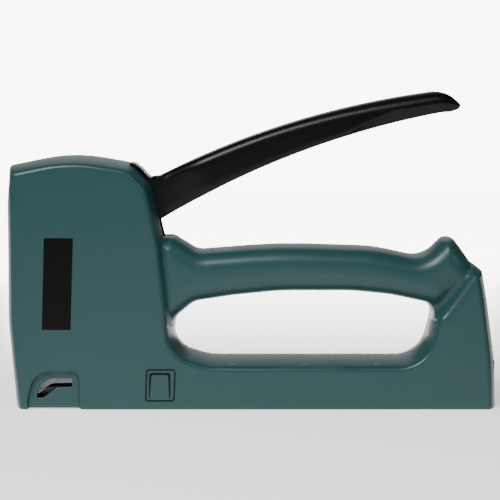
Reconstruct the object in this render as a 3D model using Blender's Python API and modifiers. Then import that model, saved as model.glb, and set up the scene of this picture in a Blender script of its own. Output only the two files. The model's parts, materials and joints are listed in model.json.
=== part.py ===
"""Hand staple gun: two moulded shells round a hand opening, a squeeze lever hinged in the head, a spring-driven
hammer and blade in the nose, and a slide-out staple magazine along the base.

Axes: the nose points along -X, the lever swings about Y, +Z is up. The origin is the middle of the base, on the
parting plane of the shells. Sizes are in millimetres and outlines are (x, z) points; meshes are in metres.
"""

import math

import bpy
import bmesh
from mathutils import Matrix, Vector

MM = 0.001
GAP = 0.3  # between pieces that rest on each other
ARC_STEP = math.radians(24)  # longest step of a rounded corner

# Body
HALF_WIDTH = 16.5  # head, rail and rear post
GRIP_HALF_WIDTH = 13.8
WALL = 2.4
CROWN, CROWN_STEPS = 4.0, 3  # rounding of the body's edges
PARTING_GAP = 0.15  # each shell stops this far from the parting plane
HOLLOW_HALF_WIDTH = HALF_WIDTH - WALL
SLOT_HALF_WIDTH = 7.0  # lever slot, magazine slot and rear door
NOSE_SLOT_HALF_WIDTH = 8.2
DOOR_FRONT, DOOR_TOP = 73.9, 17.4
NOSE_STEP_FRONT, NOSE_STEP_REAR, NOSE_STEP_HEIGHT = -80.7, -62.2, 0.4
RECESS_DEPTH = 1.4

# Outlines: (x, z, corner radius), clockwise; the frame's runs below the base, where it is cut flat
FRAME_OUTLINE = (
    (-86, -4, 0), (-89, 31, 60), (-89, 74, 60), (-88, 87.4, 1.2), (-65, 92.1, 140), (-43.4, 88.4, 9),
    (-35.9, 80.4, 12), (-31.6, 61, 40), (-28.9, 36, 30), (-27.9, 21.6, 11), (-15.5, 17.8, 20), (61, 17.8, 15),
    (65.4, 34.6, 4), (79.3, 52.4, 1), (83.7, 49, 1.2), (85.6, 38, 60), (88.2, 18, 80), (89.1, -4, 0),
)
GRIP_OUTLINE = (
    (-38, 59.5, 0), (-31.2, 59.9, 0.4), (-28.6, 61.9, 1.3), (-19.8, 56.7, 6), (10, 59, 200), (44, 57.9, 60),
    (61.8, 54, 10), (71.2, 63.5, 4), (80, 51, 0), (80, 42, 0), (73, 30, 0), (64.9, 31.5, 0), (65, 37.1, 3.5),
    (50, 40.3, 40), (36, 41.7, 60), (10, 41.7, 80), (-7, 40, 40), (-21, 37.9, 7), (-27.8, 32.3, 5), (-28.2, 29, 0),
    (-34, 29, 0), (-38, 45, 0),
)
FRAME_HOLLOW = (
    (-84.9, 2.4, 0), (-86.4, 30, 0), (-86.4, 75, 0), (-85.4, 85.1, 0), (-65, 88, 0), (-50, 87, 0), (-43.8, 86, 0),
    (-38.4, 79, 0), (-34.2, 60, 0), (-31.5, 36, 0), (-30.4, 24, 0), (-22, 15.8, 0), (-14, 15.3, 0), (61, 15.3, 0),
    (66, 24, 0), (68, 33.5, 0), (78.6, 47.5, 0), (81, 47, 0), (83.2, 37, 0), (85.6, 18, 0), (86.4, 2.4, 0),
)
GRIP_HOLLOW = (
    (-37, 57, 0), (-28, 57.6, 0), (-20, 54.3, 0), (10, 56.3, 0), (44, 55.3, 0), (60, 52.2, 0), (64, 53.2, 0),
    (71, 59.2, 0), (77.5, 50, 0), (76, 40, 0), (68.5, 32, 0), (65.8, 39, 0), (50, 42.9, 0), (36, 44.2, 0),
    (10, 44.2, 0), (-7, 42.5, 0), (-21, 40.4, 0), (-29.5, 36, 0), (-36, 40, 0),
)
SIDE_RECESS = ((-81.2, -2, 0), (-80.9, 4.5, 6), (-78.2, 13.5, 6.5), (-62.5, 13.9, 3), (-62.2, -2, 0))
WINDOW = (
    (-77.9, 4.2, 0.6), (-76.8, 8.2, 4), (-73.6, 11.1, 3), (-65.1, 11.2, 0.5), (-65.1, 8.1, 0.5), (-70.8, 7.9, 4),
    (-73.8, 5.4, 3), (-75.8, 4.1, 0.8),
)

# Lever, drawn at rest, and what it lifts
PIVOT = Vector((-46, 0, 68.5))
PIVOT_PIN_RADIUS = 2.4
PIVOT_PIN_HALF_LENGTH = 15.1
PIVOT_BOSS_START = 12.7  # distance of the pin's bosses from the parting plane
HUB_HALF_WIDTH = 6.2
HUB_RADIUS = 17.2
HUB_FRONT, HUB_REAR = math.radians(118), math.radians(54)  # ends of the hub's round roof, from +X
LEVER_TOP = ((-37, 82), (64.9, 114.3), 4.6)  # start, end and height of the arc
LEVER_UNDERSIDE = ((-33, 68.1), (67.5, 106.6), 5.0)
LEVER_TIP_LENGTH = 8.4
LEVER_HALF_WIDTH = 10.5
FLARE_START, FLARE_END = 0.03, 0.22  # where the lever widens, as parts of its length
LEVER_WALL = 2.4
DRIVE_PIN = Vector((-54.5, 0, 61))
DRIVE_PIN_RADIUS = 1.5
LIFT_TIP = Vector((-76.5, 0, 55.4))
LIFT_TIP_RADIUS = 2.3
PLATE_INNER, PLATE_OUTER = 7.8, 9.2
HAMMER_FRONT, HAMMER_REAR = -80.9, -67.0
HAMMER_HALF_WIDTH = 6.0
HAMMER_BASE, HAMMER_SEAT, HAMMER_TOP = 36.0, 40.0, 62.0
EAR_HALF_WIDTH, EAR_REAR, EAR_TOP = 9.8, -73.6, 61.5
SPRING_X, SPRING_TOP = -73.5, 83.7
SPRING_BORE, SPRING_COIL_RADIUS, SPRING_WIRE_RADIUS = 5.3, 4.35, 0.55
BLADE_BACK, BLADE_FRONT, BLADE_HALF_WIDTH, BLADE_TIP = -81.3, -82.3, 5.3, 1.2
NOSE_FRONT, NOSE_REAR, NOSE_OUTER, NOSE_TOP = -84.4, -65.5, 7.8, 17.4
SHEET = 0.8  # thickness of the pressed steel
CHEEK_INNER, CHEEK_FLANGE_BASE = 12.9, 16.6
CHEEK = (
    (-80.6, 5.6, 0.6), (-80.6, 17.4, 0), (-64.2, 17.4, 0), (-64.2, 9.35, 0.6), (-72.4, 9.2, 4), (-77.2, 5.4, 1),
)

# Magazine
CHANNEL_FRONT, CHANNEL_REAR, CHANNEL_HALF_WIDTH, CHANNEL_BASE, CHANNEL_TOP = -80.4, 72.0, 6.6, 1.0, 14.6
RAIL_HALF_WIDTH, RAIL_TOP = 4.3, 12.4
ROD_Z, ROD_RADIUS, ROD_FRONT, ROD_REAR = 7.6, 1.0, -79.4, 78.0
PUSHER_FRONT, PUSHER_REAR = -79.8, -63.8
KNOB_FRONT, KNOB_REAR, KNOB_HALF_WIDTH, KNOB_BASE, KNOB_TOP = 74.2, 88.2, 6.6, 0.4, 17.0
LATCH_PIVOT = Vector((83.5, 0, 5))
LATCH_PIN_RADIUS = 1.0
LATCH_HALF_WIDTH = 3.0
LATCH_POCKET_FRONT = 79.2
LATCH_OUTLINE = (
    (81.6, 3, 1), (86.6, 3, 1), (87.8, 6, 1), (87.8, 13.5, 1), (86, 16.7, 0.5), (81.5, 16.7, 0.3), (81.5, 14.8, 0.3),
    (84.2, 14.2, 1), (84.4, 8, 1), (81.6, 7.2, 1),
)

# Shell screws, driven from the +Y side
SCREW_PLACES = ((-61.5, 83), (-61, 41), (-72, 21.2), (-22, 48.3), (64.5, 47), (76, 25.5))
SCREW_SEAT = 10.0
SCREW_LENGTH = 19.0
SCREW_RADIUS, SCREW_HEAD_RADIUS, SCREW_HEAD_HEIGHT = 1.4, 2.8, 1.8
BOSS_RADIUS = 3.4

TEAL = ("teal_plastic", (0.045, 0.105, 0.108, 1), 0.42, 0.0)
BLACK = ("black_plastic", (0.008, 0.008, 0.009, 1), 0.35, 0.0)
STEEL = ("zinc_steel", (0.55, 0.56, 0.58, 1), 0.35, 1.0)
SPRING_STEEL = ("spring_steel", (0.30, 0.31, 0.33, 1), 0.3, 1.0)
RUBBER = ("rubber", (0.012, 0.012, 0.012, 1), 0.8, 0.0)


# ---------------------------------------------------------------- scene, materials and modifiers

def new_scene():
    """Empties the scene and makes the collections of the parts and of the cutters."""
    for old in list(bpy.data.objects):
        bpy.data.objects.remove(old)
    for name in ("staple_gun", "cutters"):
        bpy.context.scene.collection.children.link(bpy.data.collections.new(name))


def material(spec):
    """The Principled material of (name, colour, roughness, metallic), made once."""
    name, colour, roughness, metallic = spec
    found = bpy.data.materials.get(name)
    if found:
        return found
    made = bpy.data.materials.new(name)
    made.use_nodes = True
    shader = made.node_tree.nodes["Principled BSDF"]
    shader.inputs["Base Color"].default_value = colour
    shader.inputs["Roughness"].default_value = roughness
    shader.inputs["Metallic"].default_value = metallic
    made.diffuse_color = colour
    return made


def part(name, data, spec, pivot=None):
    """Links a mesh as the named sub-part, with its material and, if it swings, its origin on the pivot."""
    obj = bpy.data.objects.new(name, data)
    bpy.data.collections["staple_gun"].objects.link(obj)
    data.materials.append(material(spec))
    data.shade_smooth()
    data.set_sharp_from_angle(angle=math.radians(35))
    if pivot:
        data.transform(Matrix.Translation(-pivot * MM))
        obj.location = pivot * MM
    return obj


def tool(name, data):
    """Links a mesh as a cutter or a shape to join, which isn't a part."""
    obj = bpy.data.objects.new(name, data)
    bpy.data.collections["cutters"].objects.link(obj)
    obj.hide_render = True
    obj.display_type = "WIRE"
    return obj


def boolean(obj, operation, others):
    """Adds one exact Boolean for each of the other meshes."""
    for number, data in enumerate(others):
        other = tool(f"{obj.name} {operation.lower()} {number} {data.name}", data)
        modifier = obj.modifiers.new(other.name, "BOOLEAN")
        modifier.operation = operation
        modifier.solver = "EXACT"
        modifier.object = other


def cut(obj, *others):
    boolean(obj, "DIFFERENCE", others)


def join(obj, *others):
    boolean(obj, "UNION", others)


# ---------------------------------------------------------------- shapes

def mesh_of(name, bm):
    """Turns a bmesh in millimetres into a mesh in metres, faces pointing out."""
    bmesh.ops.recalc_face_normals(bm, faces=bm.faces)
    bmesh.ops.scale(bm, vec=(MM, MM, MM), verts=bm.verts)
    data = bpy.data.meshes.new(name)
    bm.to_mesh(data)
    bm.free()
    return data


def box(name, low, high):
    """A box between two corners."""
    bm = bmesh.new()
    bmesh.ops.create_cube(bm, size=1)
    low, high = Vector(low), Vector(high)
    bmesh.ops.scale(bm, vec=high - low, verts=bm.verts)
    bmesh.ops.translate(bm, vec=(low + high) / 2, verts=bm.verts)
    return mesh_of(name, bm)


def cylinder(name, start, end, radius, segments=16):
    """A cylinder between two points on its axis."""
    start, end = Vector(start), Vector(end)
    axis = end - start
    bm = bmesh.new()
    bmesh.ops.create_cone(bm, cap_ends=True, segments=segments, radius1=radius, radius2=radius, depth=axis.length)
    turn = Vector((0, 0, 1)).rotation_difference(axis).to_matrix()
    bmesh.ops.rotate(bm, matrix=turn, verts=bm.verts)
    bmesh.ops.translate(bm, vec=(start + end) / 2, verts=bm.verts)
    return mesh_of(name, bm)


def across(name, centre, radius, y_start, y_end, segments=16):
    """A cylinder along Y through centre, between two distances from the parting plane."""
    start = Vector((centre[0], y_start, centre[-1]))
    end = Vector((centre[0], y_end, centre[-1]))
    return cylinder(name, start, end, radius, segments)


def rounded(outline):
    """The points of an outline of (x, z, corner radius), with each corner as an arc."""
    points = []
    count = len(outline)
    for i, (x, z, radius) in enumerate(outline):
        corner = Vector((x, z))
        before = Vector(outline[i - 1][:2]) - corner
        after = Vector(outline[(i + 1) % count][:2]) - corner
        turn = math.pi - before.angle(after)
        if radius == 0 or turn < 0.01:
            points.append(corner)
            continue
        reach = min(radius * math.tan(turn / 2), 0.49 * before.length, 0.49 * after.length)
        start, end = corner + before.normalized() * reach, corner + after.normalized() * reach
        steps = max(1, math.ceil(turn / ARC_STEP))
        for step in range(steps + 1):
            points.append(corner_arc(start, corner, end, step / steps))
    return points


def inset(outline, distance):
    """A clockwise outline with every side moved inwards. It keeps the number of points that rounded() makes."""
    moved = []
    count = len(outline)
    for i, (x, z, radius) in enumerate(outline):
        corner = Vector((x, z))
        arrive = (corner - Vector(outline[i - 1][:2])).normalized()
        leave = (Vector(outline[(i + 1) % count][:2]) - corner).normalized()
        first, second = Vector((arrive.y, -arrive.x)), Vector((leave.y, -leave.x))
        place = corner + (first + second) * distance / (1 + first.dot(second))
        if radius > 0:
            convex = arrive.x * leave.y < arrive.y * leave.x
            radius = max(radius - distance, 0.3) if convex else radius + distance
        moved.append((place.x, place.y, radius))
    return moved


def corner_arc(start, corner, end, t):
    """The point at t on the circular arc that leaves start and reaches end along the sides of the corner."""
    weight = math.cos((math.pi - (start - corner).angle(end - corner)) / 2)
    a, b, c = (1 - t) ** 2, 2 * t * (1 - t) * weight, t ** 2
    return (start * a + corner * b + end * c) / (a + b + c)


def crowned(name, outline, half_width):
    """An outline extruded to both sides of the parting plane, with its edges rounded by CROWN."""
    rings = []
    for i in range(CROWN_STEPS + 1):
        angle = math.pi / 2 * i / CROWN_STEPS
        rings.append((half_width - CROWN * (1 - math.sin(angle)), CROWN * (1 - math.cos(angle))))
    sections = []
    for y, distance in [(-y, distance) for y, distance in reversed(rings)] + rings:
        sections.append([Vector((point.x, y, point.y)) for point in rounded(inset(outline, distance))])
    return loft(name, sections)


def prism(name, points, half_width, y_middle=0.0):
    """An outline of (x, z) points as a filled 2D curve, extruded along Y about y_middle."""
    curve = bpy.data.curves.new(name, "CURVE")
    curve.dimensions = "2D"
    curve.fill_mode = "BOTH"
    curve.extrude = half_width
    spline = curve.splines.new("POLY")
    spline.points.add(len(points) - 1)
    for knot, (x, z) in zip(spline.points, points):
        knot.co = (x, z, 0, 1)
    spline.use_cyclic_u = True
    obj = tool(name, curve)
    graph = bpy.context.evaluated_depsgraph_get()
    data = bpy.data.meshes.new_from_object(obj.evaluated_get(graph))
    bpy.data.objects.remove(obj)
    bm = bmesh.new()
    bm.from_mesh(data)
    bmesh.ops.remove_doubles(bm, verts=bm.verts, dist=0.001)
    bmesh.ops.rotate(bm, matrix=Matrix.Rotation(math.pi / 2, 3, "X"), verts=bm.verts)
    bmesh.ops.translate(bm, vec=(0, y_middle, 0), verts=bm.verts)
    return mesh_of(name, bm)


def plate(name, points, y_start, y_end):
    """An outline of (x, z) points as a plate between two distances from the parting plane."""
    return prism(name, points, abs(y_end - y_start) / 2, (y_start + y_end) / 2)


def loft(name, sections):
    """A closed body through sections that have the same number of points."""
    bm = bmesh.new()
    rings = [[bm.verts.new(point) for point in section] for section in sections]
    for ring, following in zip(rings, rings[1:]):
        for i in range(len(ring)):
            j = (i + 1) % len(ring)
            bm.faces.new((ring[i], ring[j], following[j], following[i]))
    bm.faces.new(rings[0])
    bm.faces.new(rings[-1])
    return mesh_of(name, bm)


def wire(name, points, radius):
    """A wire of the given radius through the points, with closed ends."""
    curve = bpy.data.curves.new(name, "CURVE")
    curve.dimensions = "3D"
    curve.bevel_depth = radius
    curve.bevel_resolution = 1
    curve.use_fill_caps = True
    spline = curve.splines.new("POLY")
    spline.points.add(len(points) - 1)
    for knot, point in zip(spline.points, points):
        knot.co = (*point, 1)
    obj = tool(name, curve)
    graph = bpy.context.evaluated_depsgraph_get()
    data = bpy.data.meshes.new_from_object(obj.evaluated_get(graph))
    bpy.data.objects.remove(obj)
    bm = bmesh.new()
    bm.from_mesh(data)
    bmesh.ops.remove_doubles(bm, verts=bm.verts, dist=0.001)
    return mesh_of(name, bm)


def coil(start, end, radius, turns, steps=8, phase=0.0):
    """Points of a helix about the line from start to end."""
    start, end = Vector(start), Vector(end)
    axis = (end - start).normalized()
    side = axis.orthogonal().normalized()
    up = axis.cross(side)
    count = round(turns * steps)
    points = []
    for i in range(count + 1):
        angle = phase + 2 * math.pi * turns * i / count
        points.append(start.lerp(end, i / count) + radius * (side * math.cos(angle) + up * math.sin(angle)))
    return points


def arc_point(arc, t):
    """The point at t on a shallow arc of (start, end, height), which may run past its ends."""
    start, end, height = Vector(arc[0]), Vector(arc[1]), arc[2]
    along = end - start
    up = Vector((-along.y, along.x)).normalized()
    return start + along * t + up * (height * 4 * t * (1 - t))


# ---------------------------------------------------------------- shells

def shell_inside(side):
    """What is moulded inside a shell: bosses, ribs, the hammer's ledge and the spring's roof pad."""
    y_wall = side * (HOLLOW_HALF_WIDTH + 0.6)
    y_part = side * PARTING_GAP

    def block(name, x_low, x_high, y_inner, z_low, z_high):
        y_low, y_high = sorted((side * y_inner, y_wall))
        return box(name, (x_low, y_low, z_low), (x_high, y_high, z_high))

    pieces = [block("roof pad", SPRING_X - 6, SPRING_X + 6, PARTING_GAP, SPRING_TOP + 2.2, 88.6)]
    pieces.append(block("hammer ledge", BLADE_BACK + GAP, HAMMER_REAR + 0.5, 2, 27.5, 30.7))
    for x in (-57, -34, -8, 18, 44, 66):
        pieces.append(block("channel rib", x, x + 1.6, CHANNEL_HALF_WIDTH + GAP, 1.6, 16.2))
    for x, z in SCREW_PLACES:
        y_end = side * (GRIP_HALF_WIDTH - 1.2) if -30 < x < 70 else y_wall
        pieces.append(across("boss", (x, z), BOSS_RADIUS, y_part, y_end))
    pieces.append(across("pivot boss", PIVOT, PIVOT_PIN_RADIUS + 2.2, side * PIVOT_BOSS_START, y_wall))
    return pieces


def shell_openings(side):
    """What is cut from a shell: slots, the door, the nose step, the window, and the holes of pins and screws."""
    outside = side * (HALF_WIDTH + 1)

    def block(name, x_low, x_high, half_width, z_low, z_high):
        return box(name, (x_low, -half_width, z_low), (x_high, half_width, z_high))

    cutters = [
        block("lever slot", -44.5, -30, SLOT_HALF_WIDTH, 61.2, 95),
        block("magazine slot", CHANNEL_FRONT - 1, DOOR_FRONT + 1, SLOT_HALF_WIDTH, -2, 3),
        block("nose slot", NOSE_FRONT - GAP, NOSE_REAR + GAP, NOSE_SLOT_HALF_WIDTH, -3, 4),
        block("rear door", DOOR_FRONT, 92, SLOT_HALF_WIDTH, -4, DOOR_TOP),
        block("nose step", NOSE_STEP_FRONT, NOSE_STEP_REAR, HALF_WIDTH + 2, -5, NOSE_STEP_HEIGHT),
        plate("side recess", rounded(SIDE_RECESS), side * (HALF_WIDTH - RECESS_DEPTH), outside),
        plate("window", rounded(WINDOW), side * (HOLLOW_HALF_WIDTH - 1), outside),
        across("pivot hole", PIVOT, PIVOT_PIN_RADIUS + GAP, 0, side * (PIVOT_PIN_HALF_LENGTH + GAP)),
    ]
    for place in SCREW_PLACES:
        if side > 0:
            cutters.append(across("clearance hole", place, SCREW_RADIUS + GAP, -1, side * SCREW_SEAT + 1))
            cutters.append(across("counterbore", place, SCREW_HEAD_RADIUS + GAP, side * SCREW_SEAT, outside))
        else:
            depth = SCREW_LENGTH - SCREW_SEAT + 2 * GAP
            cutters.append(across("thread hole", place, SCREW_RADIUS + GAP, 1, -depth))
    return cutters


def make_shell(name, side):
    """One half of the body: the frame joined to the grip, hollowed, halved, ribbed and cut open."""
    shell = part(name, crowned("frame", FRAME_OUTLINE, HALF_WIDTH), TEAL)
    join(shell, crowned("grip", GRIP_OUTLINE, GRIP_HALF_WIDTH))
    hollow = tool(f"{name} hollow", prism("frame hollow", rounded(FRAME_HOLLOW), HOLLOW_HALF_WIDTH))
    join(hollow, prism("grip hollow", rounded(GRIP_HOLLOW), GRIP_HALF_WIDTH - WALL))
    modifier = shell.modifiers.new("hollow", "BOOLEAN")
    modifier.solver = "EXACT"
    modifier.object = hollow
    y_low, y_high = sorted((side * PARTING_GAP, -side * 30))
    cut(shell, box("other half", (-100, y_low, -10), (100, y_high, 130)))
    cut(shell, box("below the base", (-100, -30, -10), (100, 30, 0)))
    join(shell, *shell_inside(side))
    cut(shell, *shell_openings(side))


def make_screws():
    """The shell screws: a pan head with a cross recess on a straight shank."""
    for number, (x, z) in enumerate(SCREW_PLACES, 1):
        y_seat = SCREW_SEAT + GAP
        y_top = y_seat + SCREW_HEAD_HEIGHT
        screw = part(f"shell_screw_{number}", across("head", (x, z), SCREW_HEAD_RADIUS, y_seat, y_top), STEEL)
        join(screw, across("shank", (x, z), SCREW_RADIUS, y_seat + 0.5, y_seat - SCREW_LENGTH, 10))
        for half_x, half_z in ((1.6, 0.35), (0.35, 1.6)):
            low = (x - half_x, y_top - 1, z - half_z)
            cut(screw, box("recess", low, (x + half_x, y_top + 1, z + half_z)))


# ---------------------------------------------------------------- lever and lifting plates

def lever_section(t, height_scale, width_scale, inset=0.0):
    """The lever's section at t of its length: rounded at the top, square at the underside."""
    top, under = arc_point(LEVER_TOP, t), arc_point(LEVER_UNDERSIDE, t)
    middle = (top + under) / 2
    rise = (top - under) / 2 * height_scale
    flare = min(max((t - FLARE_START) / (FLARE_END - FLARE_START), 0), 1)
    flare = flare * flare * (3 - 2 * flare)
    half_width = (HUB_HALF_WIDTH + (LEVER_HALF_WIDTH - HUB_HALF_WIDTH) * flare) * width_scale - inset
    profile = ((-1, -1), (-1, 0.1), (-0.92, 0.55), (-0.68, 0.86), (-0.3, 1), (0.3, 1), (0.68, 0.86), (0.92, 0.55),
               (1, 0.1), (1, -1))
    points = []
    for across_y, up in profile:
        place = middle + rise * up
        if inset:
            place = middle + rise * up - rise.normalized() * (inset if up > 0 else 2 * inset)
        points.append(Vector((place.x, half_width * across_y, place.y)))
    return points


def make_lever():
    """The squeeze lever: a hollow beam on a flat root that turns about the pivot."""
    steps = 16
    sections = [lever_section(i / steps, 1, 1) for i in range(steps + 1)]
    span = (Vector(LEVER_TOP[1]) - Vector(LEVER_TOP[0])).length
    for i in range(1, 5):
        angle = math.radians(80) * i / 4
        t = 1 + LEVER_TIP_LENGTH / span * math.sin(angle)
        sections.append(lever_section(t, max(math.cos(angle), 0.3), max(math.cos(angle), 0.45)))
    lever = part("squeeze_lever", loft("beam", sections), BLACK, PIVOT)
    roof = []
    roof_steps = 8
    for i in range(roof_steps + 1):
        angle = HUB_FRONT + (HUB_REAR - HUB_FRONT) * i / roof_steps
        roof.append(Vector((PIVOT.x + HUB_RADIUS * math.cos(angle), PIVOT.z + HUB_RADIUS * math.sin(angle))))
    neck = [arc_point(LEVER_TOP, t) for t in (0.04, 0.08)] + [arc_point(LEVER_UNDERSIDE, t) for t in (0.08, 0.0)]
    keel = [Vector(point) for point in ((-38.5, 63.5), (-44, 61), (-52, 57), (-57.5, 58), (-58.5, 64))]
    join(lever, plate("root", roof + neck + keel, -HUB_HALF_WIDTH, HUB_HALF_WIDTH))
    channel = [lever_section(0.2 + 0.76 * i / 10, 1, 1, LEVER_WALL) for i in range(11)]
    cut(lever, loft("channel", channel))
    cut(lever, across("pivot hole", PIVOT, PIVOT_PIN_RADIUS + GAP, -20, 20))
    cut(lever, across("drive pin hole", DRIVE_PIN, DRIVE_PIN_RADIUS + GAP, -20, 20))


def make_lift_plates():
    """The two steel plates beside the lever's root, whose tips lift the hammer by its ears."""
    outline = (
        (-39.8, 68, 5), (-42, 74.6, 5), (-50, 74.2, 5), (-58, 64.6, 6), (-71, 57.7, 3), (-79, 57.7, 2.2),
        (-79, 53, 2.2), (-73, 52.6, 3), (-56, 55.6, 5), (-43, 61.8, 5),
    )
    for name, side in (("lift_plate_left", -1), ("lift_plate_right", 1)):
        shape = plate("plate", rounded(outline), side * PLATE_INNER, side * PLATE_OUTER)
        lift_plate = part(name, shape, STEEL, PIVOT)
        cut(lift_plate, across("pivot hole", PIVOT, PIVOT_PIN_RADIUS + GAP, -20, 20))
        cut(lift_plate, across("drive pin hole", DRIVE_PIN, DRIVE_PIN_RADIUS + GAP, -20, 20))


def make_lever_pins():
    """The lever's pivot pin, the pin that drives the plates, the spacers and the lever's return spring."""
    half = PIVOT_PIN_HALF_LENGTH
    part("lever_pivot_pin", across("pin", PIVOT, PIVOT_PIN_RADIUS, -half, half, 20), STEEL)
    reach = PLATE_OUTER + 0.6
    part("drive_pin", across("pin", DRIVE_PIN, DRIVE_PIN_RADIUS, -reach, reach), STEEL, PIVOT)
    for name, side in (("pivot_spacer_left", -1), ("pivot_spacer_right", 1)):
        ends = side * (HUB_HALF_WIDTH + GAP), side * (PLATE_INNER - GAP)
        spacer = part(name, across("spacer", PIVOT, 5, *ends), BLACK)
        cut(spacer, across("hole", PIVOT, PIVOT_PIN_RADIUS + GAP, -20, 20))
    y_inner, y_outer = -(PLATE_OUTER + 0.75), -(PIVOT_BOSS_START - 0.75)
    turns = coil((PIVOT.x, y_inner, PIVOT.z), (PIVOT.x, y_outer, PIVOT.z), 3.9, 2.25, 12)
    first, last = turns[0], turns[-1]
    start_leg = Vector((-56, y_inner, first.z + 1))
    end_leg = Vector((last.x + 1, y_outer, 80))
    part("lever_return_spring", wire("spring", [start_leg, *turns, end_leg], 0.4), SPRING_STEEL)


# ---------------------------------------------------------------- hammer and nose

def make_hammer():
    """The hammer: a block with a bore for the main spring and two ears that the lift plates push up."""
    low = (HAMMER_FRONT, -HAMMER_HALF_WIDTH, HAMMER_BASE)
    hammer = part("hammer", box("block", low, (HAMMER_REAR, HAMMER_HALF_WIDTH, HAMMER_TOP)), STEEL)
    ear_base = LIFT_TIP.z + LIFT_TIP_RADIUS + GAP + 0.1
    ears = box("ears", (HAMMER_FRONT, -EAR_HALF_WIDTH, ear_base), (EAR_REAR, EAR_HALF_WIDTH, EAR_TOP))
    join(hammer, ears)
    cut(hammer, cylinder("bore", (SPRING_X, 0, HAMMER_SEAT), (SPRING_X, 0, 90), SPRING_BORE, 20))


def make_spring_and_guide():
    """The main spring between the hammer's seat and the guide's flange."""
    bottom = HAMMER_SEAT + GAP + SPRING_WIRE_RADIUS
    top = SPRING_TOP - SPRING_WIRE_RADIUS
    turns = coil((SPRING_X, 0, bottom), (SPRING_X, 0, top), SPRING_COIL_RADIUS, 11, 9)
    part("main_spring", wire("spring", turns, SPRING_WIRE_RADIUS), SPRING_STEEL)
    flange_base = SPRING_TOP + GAP
    flange = cylinder("flange", (SPRING_X, 0, flange_base), (SPRING_X, 0, flange_base + 1.6), 6, 20)
    guide = part("spring_guide", flange, BLACK)
    join(guide, cylinder("rod", (SPRING_X, 0, 66), (SPRING_X, 0, flange_base + 0.5), 3, 12))


def make_cheek(name, side):
    """A curved steel cheek behind the side window, with a flange that reaches in to the nose plate."""
    cheek = part(name, plate("cheek", rounded(CHEEK), side * CHEEK_INNER, side * (CHEEK_INNER + SHEET)), STEEL)
    y_low, y_high = sorted((side * (NOSE_OUTER + GAP), side * (CHEEK_INNER + SHEET / 2)))
    join(cheek, box("flange", (CHEEK[1][0], y_low, CHEEK_FLANGE_BASE), (CHEEK[2][0], y_high, NOSE_TOP)))


def make_nose():
    """The driver blade, the rubber bumper under the hammer and the folded nose plate."""
    low = (BLADE_FRONT, -BLADE_HALF_WIDTH, BLADE_TIP)
    blade = part("driver_blade", box("blade", low, (BLADE_BACK, BLADE_HALF_WIDTH, 60)), STEEL)
    cut(blade, box("notch", (-90, -2, 58.5), (-70, 2, 70)))
    bumper_low = (BLADE_BACK + 0.6, -HAMMER_HALF_WIDTH, 30.7 + GAP)
    bumper = part("bumper", box("block", bumper_low, (HAMMER_REAR, HAMMER_HALF_WIDTH, HAMMER_BASE - GAP)), RUBBER)
    bevel = bumper.modifiers.new("rounded edges", "BEVEL")
    bevel.width = 0.8 * MM
    bevel.segments = 2
    nose_low = (NOSE_FRONT, -NOSE_OUTER, 0.5)
    nose = part("nose_plate", box("plate", nose_low, (NOSE_REAR, NOSE_OUTER, NOSE_TOP)), STEEL)
    inner = NOSE_OUTER - SHEET
    cut(nose, box("inside", (NOSE_FRONT + SHEET, -inner, -5), (NOSE_REAR + 5, inner, NOSE_TOP + 5)))
    make_cheek("nose_cheek_left", -1)
    make_cheek("nose_cheek_right", 1)


# ---------------------------------------------------------------- magazine

def make_channel_and_rail():
    """The fixed magazine channel, open below, and the staple rail that slides in it."""
    low = (CHANNEL_FRONT, -CHANNEL_HALF_WIDTH, CHANNEL_BASE)
    outer = box("channel", low, (CHANNEL_REAR, CHANNEL_HALF_WIDTH, CHANNEL_TOP))
    channel = part("magazine_channel", outer, STEEL)
    inner = CHANNEL_HALF_WIDTH - SHEET
    cut(channel, box("inside", (-100, -inner, -5), (100, inner, CHANNEL_TOP - SHEET)))
    rail_low = (CHANNEL_FRONT, -RAIL_HALF_WIDTH, CHANNEL_BASE)
    rail = part("staple_rail", box("rail", rail_low, (DOOR_FRONT, RAIL_HALF_WIDTH, RAIL_TOP)), STEEL)
    inner = RAIL_HALF_WIDTH - SHEET
    cut(rail, box("inside", (-100, -inner, CHANNEL_BASE + SHEET), (100, inner, 30)))


def make_pusher():
    """The pusher that straddles the rail, the rod that it slides on and its spring."""
    core = box("core", (PUSHER_FRONT, -3, 3), (PUSHER_REAR, 3, 13.4))
    pusher = part("pusher", core, BLACK)
    saddle = RAIL_HALF_WIDTH + 1.1
    join(pusher, box("saddle", (PUSHER_FRONT, -saddle, 6), (PUSHER_REAR, saddle, 13.4)))
    for side in (-1, 1):
        y_low, y_high = sorted((side * (RAIL_HALF_WIDTH - SHEET - GAP), side * (RAIL_HALF_WIDTH + GAP)))
        cut(pusher, box("rail slot", (-100, y_low, 0), (100, y_high, RAIL_TOP + GAP)))
    cut(pusher, cylinder("bore", (-100, 0, ROD_Z), (0, 0, ROD_Z), ROD_RADIUS + GAP, 12))
    part("pusher_rod", cylinder("rod", (ROD_FRONT, 0, ROD_Z), (ROD_REAR, 0, ROD_Z), ROD_RADIUS, 10), STEEL)
    wire_radius = 0.3
    start, end = PUSHER_REAR + GAP + wire_radius, KNOB_FRONT - GAP - wire_radius
    turns = coil((start, 0, ROD_Z), (end, 0, ROD_Z), 2.2, 24, 7)
    part("pusher_spring", wire("spring", turns, wire_radius), SPRING_STEEL)


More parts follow.
